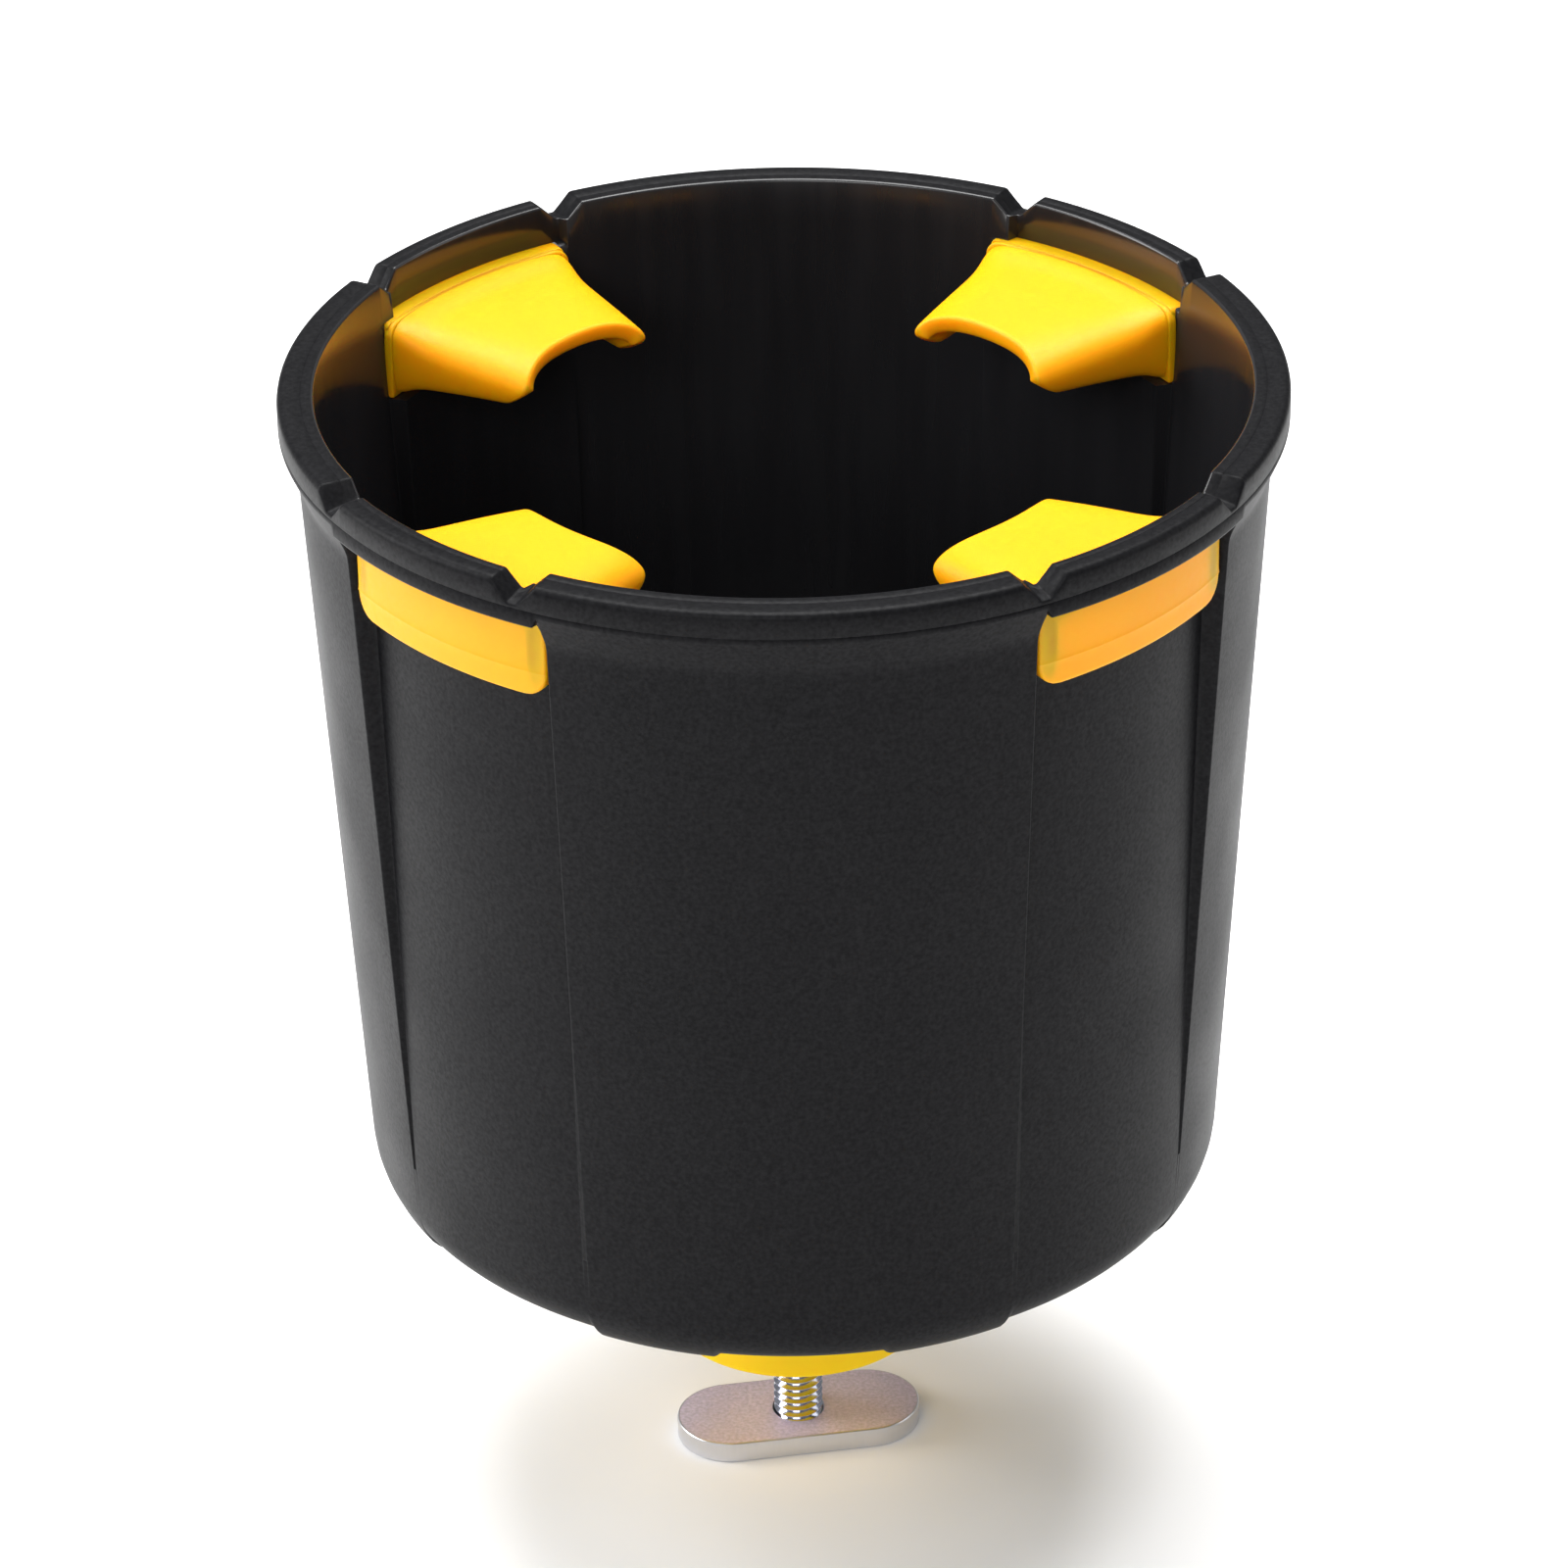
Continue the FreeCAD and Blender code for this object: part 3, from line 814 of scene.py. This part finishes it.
def pad_geometry(bm, face, depth):
    """Everything of the pad that is in a bmesh so far."""
    verts = [v for v in bm.verts if v.co.x > face - depth - 0.5 * MM]
    kept = set(verts)
    edges = [e for e in bm.edges if e.verts[0] in kept and e.verts[1] in kept]
    faces = [f for f in bm.faces if all(v in kept for v in f.verts)]
    return verts + edges + faces


def make_grip(place, about, s, materials):
    """One silicone grip: pad, neck and hooded flap in one mesh; the real flap bends at the window."""
    bm = bmesh.new()
    make_neck(bm)
    neck = bm.verts[:]
    bmesh.ops.translate(bm, verts=neck, vec=(-1, 0, 0))       # out of the pad's way
    make_pad(bm, s)
    bmesh.ops.translate(bm, verts=neck, vec=(1, 0, 0))
    pad_faces = set(bm.faces)
    count = 18
    verts = [bm.verts.new(hood_point(s, 0, math.pi * i / count)) for i in range(count + 1)]
    edges = [bm.edges.new(pair) for pair in zip(verts, verts[1:])]
    for along in FLAP_RINGS:
        made = bmesh.ops.extrude_edge_only(bm, edges=edges)["geom"]
        fresh, edges = verts_of(made), edges_of(made)
        order = {v: next(e.other_vert(v) for e in v.link_edges if e.other_vert(v) not in fresh)
                 for v in fresh}
        rank = {old: i for i, old in enumerate(verts)}
        fresh.sort(key=lambda v: rank[order[v]])
        for index, vert in enumerate(fresh):
            vert.co = hood_point(s, along, math.pi * index / count)
        verts = fresh
    hood = [f for f in bm.faces if f not in pad_faces]
    bmesh.ops.recalc_face_normals(bm, faces=hood)
    up = max(hood, key=lambda f: f.calc_center_median().z)
    if up.normal.z < 0:
        bmesh.ops.reverse_faces(bm, faces=hood)
    bmesh.ops.solidify(bm, geom=hood, thickness=s.skin)
    # flash left at the moulding line, on both toes and both ends of the pad
    marks = []
    for side in (-1, 1):
        marks.append(((32.6 * MM, side * 9.35 * MM, RIM - 9.0 * MM), 0.35 * MM))
        end = s.pad_half_width / s.pad_face
        marks.append(((54.0 * MM * math.cos(end), side * 54.15 * MM * math.sin(end),
                       RIM - 12.0 * MM), 0.3 * MM))
    for spot, size in marks:
        bmesh.ops.create_cube(bm, size=1.7 * size, matrix=Matrix.Translation(spot))
    bmesh.ops.rotate(bm, verts=bm.verts, cent=ORIGIN,
                     matrix=Matrix.Rotation(math.radians(about), 3, "Z"))
    piece = finish_piece("grip_" + place, bm, materials, 181)
    soften(piece, 2)
    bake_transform(piece)
    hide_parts("grip_pad_" + place, "grip_flap_" + place)


# ---------------------------------------------------------------- spacer and clamp

def make_spacer(sizes, cup, materials):
    """The bush between cup and track, moulded like the grips."""
    radius, low, high = SPACER_HIGH.x, SPACER_LOW.z, SPACER_HIGH.z
    hole = sizes.hole_radius
    socket = cup.well_radius + cup.floor_thickness + 0.2 * MM
    seat = cup.well_floor - cup.floor_thickness - 0.2 * MM
    outline = (fillet((radius, low), (hole, low), (hole, high), 0.3 * MM, 2)
               + fillet((hole, low), (hole, seat), (socket, seat), 0.2 * MM, 1)
               + [(socket, seat)]
               + fillet((socket, seat), (socket, high), (radius, high), 0.3 * MM, 2)
               + fillet((socket, high), (radius, high), (radius, low), 0.6 * MM, 4)
               + [(radius, low + 9 * MM), (radius, low + 4 * MM)]
               + fillet((radius, high), (radius, low), (hole, low), 0.6 * MM, 5))
    bm = bmesh.new()
    lathe(bm, outline, 128)
    piece = finish_piece("spacer_bush", bm, materials)
    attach(piece, "cup")
    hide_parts("spacer")


def make_washer(sizes, materials):
    """The wide washer in the well."""
    inner, outer = sizes.hole_radius, sizes.washer_radius
    low, high = WASHER_LOW.z, WASHER_HIGH.z
    outline = (fillet((outer, low), (inner, low), (inner, high), 0.1 * MM, 1)
               + fillet((inner, low), (inner, high), (outer, high), 0.15 * MM, 2)
               + fillet((inner, high), (outer, high), (outer, low), 0.3 * MM, 3)
               + fillet((outer, high), (outer, low), (inner, low), 0.1 * MM, 1))
    bm = bmesh.new()
    lathe(bm, outline, 96)
    piece = finish_piece("well_washer", bm, materials)
    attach(piece, "cup")
    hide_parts("washer")


def make_screw(sizes, materials):
    """Button-head screw with a true right-hand thread and a hexagon socket."""
    bm = bmesh.new()
    pitch, crest = sizes.thread_pitch, sizes.screw_radius
    root = crest - sizes.thread_depth
    end, seat = SCREW_LOW.z, WASHER_HIGH.z
    steps = 36
    turns = math.ceil((seat - end) / pitch) + 4
    tooth = [(root, 0.0), (root + 0.04 * MM, 0.06), (crest - 0.06 * MM, 0.42), (crest, 0.47),
             (crest, 0.53), (crest - 0.06 * MM, 0.58), (root + 0.04 * MM, 0.94), (root, 1.0)]
    verts, edges = draw(bm, [(r, end + (share - 1.4) * pitch) for r, share in tooth], False)
    bmesh.ops.spin(bm, geom=verts + edges, cent=ORIGIN, axis=UP, dvec=UP * pitch / steps,
                   angle=2 * math.pi, steps=steps, use_duplicate=False)
    one_turn = everything(bm)
    for index in range(1, turns):
        copy = bmesh.ops.duplicate(bm, geom=one_turn)["geom"]
        bmesh.ops.translate(bm, verts=verts_of(copy), vec=UP * pitch * index)
    bmesh.ops.remove_doubles(bm, verts=bm.verts, dist=0.005 * MM)
    for height, normal in ((end, -UP), (seat + 0.3 * MM, UP)):
        cut = bmesh.ops.bisect_plane(bm, geom=everything(bm), plane_co=(0, 0, height),
                                     plane_no=normal, clear_outer=True)
        bmesh.ops.edgeloop_fill(bm, edges=edges_of(cut["geom_cut"]))
    point = 0.9 * MM
    for vert in bm.verts:
        above = vert.co.z - end
        reach = math.hypot(vert.co.x, vert.co.y)
        limit = root - 0.15 * MM + above
        if above < point and reach > limit:
            vert.co.x *= limit / reach
            vert.co.y *= limit / reach

    # head: a domed button, then the socket let into its flat top
    head, top = sizes.head_radius, SCREW_HIGH.z
    flat = 2.75 * MM
    dome = [(flat, top)] + fillet((flat, top), (head - 0.35 * MM, top - 0.35 * MM),
                                  (head, seat), 2.0 * MM, 6)
    dome += fillet((head, top - 1 * MM), (head, seat), (0, seat), 0.25 * MM, 2)
    dome += [(root, seat)]
    segments = 96
    lathe(bm, dome, segments, closed=False)
    bmesh.ops.edgeloop_fill(bm, edges=[e for e in bm.edges if e.is_boundary and
                                       all(abs(v.co.z - seat) < 1e-7 for v in e.verts)])
    rim = [e for e in bm.edges if e.is_boundary and all(abs(v.co.z - top) < 1e-7 for v in e.verts)]
    corner = sizes.socket_width / 2 / math.cos(math.radians(30))
    hexagon = bmesh.ops.create_circle(bm, segments=6, radius=corner,
                                      matrix=Matrix.Translation((0, 0, top)))["verts"]
    sides = list({e for v in hexagon for e in v.link_edges})
    bmesh.ops.subdivide_edges(bm, edges=sides, cuts=segments // 6 - 1)
    loop = [e for e in bm.edges if all(abs(v.co.z - top) < 1e-7
            and math.hypot(v.co.x, v.co.y) < flat - 0.1 * MM for v in e.verts)]
    bmesh.ops.bridge_loops(bm, edges=rim + loop)
    depth = sizes.socket_depth
    for drop, size in ((0.12 * MM, 0.96), (depth - 0.12 * MM, 1.0), (0.5 * MM, 0.15)):
        made = bmesh.ops.extrude_edge_only(bm, edges=loop)["geom"]
        fresh, loop = verts_of(made), edges_of(made)
        bmesh.ops.translate(bm, verts=fresh, vec=(0, 0, -drop))
        bmesh.ops.scale(bm, verts=fresh, vec=(size, size, 1))
    bmesh.ops.edgeloop_fill(bm, edges=loop)
    piece = finish_piece("clamp_screw_threaded", bm, materials)
    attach(piece, "screw")
    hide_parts("clamp_screw")


def make_plate(sizes, materials):
    """The T plate: a blank with round ends, a tapped hole and eased edges."""
    bm = bmesh.new()
    low, high = PLATE_LOW.z, PLATE_HIGH.z
    radius = sizes.plate_width / 2
    straight = sizes.plate_length / 2 - radius
    half_step = math.pi / 72
    at_top = Matrix.Translation((0, 0, high)) @ Matrix.Rotation(half_step, 4, "Z")
    outer = bmesh.ops.create_circle(bm, segments=72, radius=radius, matrix=at_top)["verts"]
    for vert in outer:
        vert.co.x += math.copysign(straight, vert.co.x)
    bmesh.ops.create_circle(bm, segments=72, radius=sizes.tapped_radius, matrix=at_top)
    bmesh.ops.bridge_loops(bm, edges=bm.edges[:])
    made = bmesh.ops.extrude_face_region(bm, geom=bm.faces[:], use_keep_orig=True)["geom"]
    bmesh.ops.translate(bm, verts=verts_of(made), vec=(0, 0, low - high))
    bmesh.ops.recalc_face_normals(bm, faces=bm.faces)

    def edges_at(height, inner):
        """Edges of the hole or of the outline at one face."""
        return [e for e in bm.edges if all(abs(v.co.z - height) < 1e-7 for v in e.verts)
                and all((math.hypot(v.co.x, v.co.y) < 4 * MM) == inner for v in e.verts)
                and any(abs(f.normal.z) < 0.5 for f in e.link_faces)]

    for height, inner, size, segments in ((high, True, 0.15 * MM, 1), (low, True, 0.15 * MM, 1),
                                          (high, False, sizes.edge_round, 3),
                                          (low, False, sizes.edge_round, 3)):
        bevel(bm, edges_at(height, inner), size, segments)
    bmesh.ops.rotate(bm, verts=bm.verts, cent=ORIGIN,
                     matrix=Matrix.Rotation(sizes.plate_turn, 3, "Z"))
    bmesh.ops.recalc_face_normals(bm, faces=bm.faces)
    for face in bm.faces:
        face.material_index = 0 if abs(face.normal.z) > 0.98 else 1
    piece = finish_piece("track_plate_blank", bm, materials, 25)
    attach(piece, "plate")
    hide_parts("track_plate")


# ---------------------------------------------------------------- operators

def sizes_of(context):
    """The four groups of settings."""
    scene = context.scene
    return scene.holder_cup, scene.holder_grip, scene.holder_clamp, scene.holder_finish


class HOLDER_OT_cup(bpy.types.Operator):
    """Make the moulded cup"""
    bl_idname = "holder.cup"
    bl_label = "Cup"

    def execute(self, context):
        cup, _, _, finish = sizes_of(context)
        piece = make_cup(cup, [polypropylene_grained(finish.plastic),
                               polypropylene_polished(finish.plastic_inside)])
        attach(piece, "cup")
        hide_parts("cup_body")
        return {"FINISHED"}


class HOLDER_OT_grips(bpy.types.Operator):
    """Make the four silicone grips"""
    bl_idname = "holder.grips"
    bl_label = "Grips"

    def execute(self, context):
        _, grip, _, finish = sizes_of(context)
        silicone = silicone_moulded("silicone_rubber_yellow", finish.silicone, 0.55)
        for place, about in GRIPS.items():
            make_grip(place, about, grip, [silicone])
        return {"FINISHED"}


class HOLDER_OT_spacer(bpy.types.Operator):
    """Make the spacer"""
    bl_idname = "holder.spacer"
    bl_label = "Spacer"

    def execute(self, context):
        cup, _, clamp, finish = sizes_of(context)
        make_spacer(clamp, cup, [silicone_moulded("silicone_rubber_spacer", finish.spacer, 0.35)])
        return {"FINISHED"}


class HOLDER_OT_screw(bpy.types.Operator):
    """Make the clamp screw and its washer"""
    bl_idname = "holder.screw"
    bl_label = "Screw and washer"

    def execute(self, context):
        _, _, clamp, finish = sizes_of(context)
        steel = steel_rolled(finish.steel)
        make_screw(clamp, [steel])
        make_washer(clamp, [steel])
        return {"FINISHED"}


class HOLDER_OT_plate(bpy.types.Operator):
    """Make the T plate"""
    bl_idname = "holder.plate"
    bl_label = "T plate"

    def execute(self, context):
        _, _, clamp, finish = sizes_of(context)
        make_plate(clamp, [steel_blanked(finish.plate), steel_sheared(finish.plate_edge)])
        return {"FINISHED"}


class HOLDER_OT_stage(bpy.types.Operator):
    """Make the floor, the studio light and the camera"""
    bl_idname = "holder.stage"
    bl_label = "Stage"

    def execute(self, context):
        make_stage(context, sizes_of(context)[3])
        return {"FINISHED"}


def softbox(name, spot, aim, size, power):
    """A rectangular studio light."""
    data = bpy.data.lights.new(name, "AREA")
    data.shape = "RECTANGLE"
    data.size, data.size_y = size
    data.energy = power
    light = bpy.data.objects.new(name, data)
    light.location = spot
    light.rotation_euler = (Vector(aim) - Vector(spot)).to_track_quat("-Z", "Y").to_euler()
    bpy.context.scene.collection.objects.link(light)


# each light's name, place and size in metres, and power in watts
SOFTBOXES = (("key_left", (-0.85, 0.10, 0.55), (0.5, 0.8), 9),
             ("fill_right", (0.9, 0.05, 0.50), (0.4, 0.7), 1.2),
             ("top", (0.0, 0.25, 1.1), (0.9, 0.9), 22),
             ("front", (-0.35, -1.1, 0.75), (0.8, 0.5), 6))
LIT_POINT = (0, 0, 0.07)

# the camera looks down by its tilt from in front of the middle of the rim
CAMERA_TILT, CAMERA_SWING, CAMERA_ROLL = 29.596, -0.573, -0.864
CAMERA_BACK, CAMERA_ASIDE, CAMERA_DROP = 784.41 * MM, 0.07 * MM, 46.30 * MM
CAMERA_SENSOR, CAMERA_LENS = 36, 158.73


def make_stage(context, finish):
    """Plain pale floor, dim white room, four softboxes, and a camera above the front."""
    scene = context.scene
    bm = bmesh.new()
    bmesh.ops.create_grid(bm, x_segments=4, y_segments=4, size=3.0,
                          matrix=Matrix.Translation((0, 0, CAD_BOX[0].z - 0.05 * MM)))
    floor = finish_piece("studio_floor", bm, [floor_paint(finish.floor)])

    world = bpy.data.worlds.new("studio_white")
    world.use_nodes = True
    tree = world.node_tree
    seen = add_node(tree, "ShaderNodeLightPath").outputs["Is Camera Ray"]
    backdrop = add_node(tree, "ShaderNodeMapRange",
                        {"Value": seen, "To Min": finish.room_light, "To Max": 1.0}).outputs["Result"]
    tree.nodes["Background"].inputs["Color"].default_value = linear("ffffff")
    tree.links.new(backdrop, tree.nodes["Background"].inputs["Strength"])
    scene.world = world
    for name, spot, size, power in SOFTBOXES:
        softbox(name, spot, LIT_POINT, size, power)

    tilt, swing, roll = (math.radians(a) for a in (CAMERA_TILT, CAMERA_SWING, CAMERA_ROLL))
    back = Vector((math.sin(swing) * math.cos(tilt), -math.cos(swing) * math.cos(tilt),
                   math.sin(tilt)))
    level = Vector((math.cos(swing), math.sin(swing), 0))
    rise = back.cross(level)
    right = level * math.cos(roll) + rise * math.sin(roll)
    above = rise * math.cos(roll) - level * math.sin(roll)
    camera = bpy.data.objects.new("camera", bpy.data.cameras.new("camera"))
    camera.data.sensor_width = CAMERA_SENSOR
    camera.data.lens = CAMERA_LENS
    camera.data.clip_start, camera.data.clip_end = 0.05, 20
    camera.location = back * CAMERA_BACK + right * CAMERA_ASIDE - above * CAMERA_DROP + UP * RIM
    camera.rotation_mode = "QUATERNION"
    camera.rotation_quaternion = Matrix((right, above, back)).transposed().to_quaternion()
    scene.collection.objects.link(camera)
    scene.camera = camera
    scene.view_settings.view_transform = "Standard"


class HOLDER_PT_panel(bpy.types.Panel):
    """Lists the pieces and their sizes"""
    bl_idname = "HOLDER_PT_panel"
    bl_label = "Cup holder"
    bl_space_type = "VIEW_3D"
    bl_region_type = "UI"
    bl_category = "Cup holder"

    def draw(self, context):
        for operator in OPERATORS:
            self.layout.operator(operator.bl_idname)
        for group in sizes_of(context):
            box = self.layout.box()
            for name in group.__annotations__:
                box.prop(group, name)


GROUPS = {"holder_cup": CupSizes, "holder_grip": GripSizes,
          "holder_clamp": HardwareSizes, "holder_finish": Finishes}
OPERATORS = (HOLDER_OT_cup, HOLDER_OT_grips, HOLDER_OT_spacer, HOLDER_OT_screw,
             HOLDER_OT_plate, HOLDER_OT_stage)


def register():
    """Add the classes and the scene's settings."""
    for cls in (*GROUPS.values(), *OPERATORS, HOLDER_PT_panel):
        bpy.utils.register_class(cls)
    for name, group in GROUPS.items():
        setattr(bpy.types.Scene, name, PointerProperty(type=group))


def unregister():
    """Take them away again."""
    for name in GROUPS:
        delattr(bpy.types.Scene, name)
    for cls in (HOLDER_PT_panel, *reversed(OPERATORS), *reversed(tuple(GROUPS.values()))):
        bpy.utils.unregister_class(cls)


def main():
    """Make every piece and the stage."""
    register()
    for operator in OPERATORS:
        group, name = operator.bl_idname.split(".")
        getattr(getattr(bpy.ops, group), name)()


if __name__ == "__main__":
    main()
